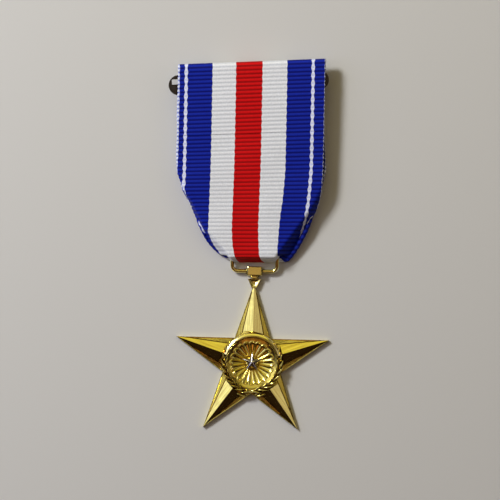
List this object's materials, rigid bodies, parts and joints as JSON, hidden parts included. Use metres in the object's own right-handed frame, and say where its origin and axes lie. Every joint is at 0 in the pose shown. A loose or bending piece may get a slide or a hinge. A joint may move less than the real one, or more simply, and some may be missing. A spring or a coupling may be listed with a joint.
{
  "type": "military service medal",
  "caption": "Gilt faceted star with laurel wreath and small silver star, hung by a wire loop from a striped folded ribbon on a slotted pin brooch.",
  "frame": {"origin": "on the surface that the medal lies on, under the brooch's middle in X and halfway along the medal in Y", "axes": "+X along the brooch, +Y from the star towards the brooch, +Z out of the medal's face"},
  "size_m": [0.0384, 0.0876, 0.0052],
  "materials": {
    "gilt_brass": "polished",
    "silver": "polished",
    "nickel_plate": "gloss",
    "steel_pin": "gloss",
    "ribbon_cloth": "satin",
    "sewing_thread": "matte"
  },
  "bodies": {
    "brooch": {"brooch_frame": "nickel_plate", "hinge_bracket": "nickel_plate", "hinge_rivet": "steel_pin", "catch_bracket": "nickel_plate", "ribbon_head": "ribbon_cloth"},
    "needle": {"pin_needle": "steel_pin"},
    "roller": {"catch_roller": "nickel_plate"},
    "ribbon": {"ribbon_drape": "ribbon_cloth", "ribbon_stitches": "sewing_thread"},
    "loop": {"suspension_loop": "gilt_brass"},
    "pendant": {"hanger_block": "gilt_brass", "star_planchet": "gilt_brass", "centre_star": "silver"}
  },
  "joints": [
    {"name": "pin_swing", "type": "hinge", "parent": "brooch", "child": "needle", "pos_m": [-0.015, 0.03766, 0.0018], "axis": [0, 1, 0], "range_deg": [0, 85]},
    {"name": "catch_roll", "type": "hinge", "parent": "brooch", "child": "roller", "pos_m": [0.0145, 0.03766, 0.0018], "axis": [1, 0, 0], "range_deg": [-90, 0]},
    {"name": "ribbon_swing", "type": "hinge", "parent": "brooch", "child": "ribbon", "pos_m": [0, 0.03547, 0.00473], "axis": [-1, 0, 0], "range_deg": [-20, 60]},
    {"name": "loop_swing", "type": "hinge", "parent": "ribbon", "child": "loop", "pos_m": [-0.00005, -0.00109, 0.00231], "axis": [-0.998, 0.0628, 0], "range_deg": [-50, 50]},
    {"name": "star_swing", "type": "hinge", "parent": "loop", "child": "pendant", "pos_m": [-0.00035, -0.00594, 0.0011], "axis": [-0.998, 0.0628, 0], "range_deg": [-80, 80]}
  ]
}
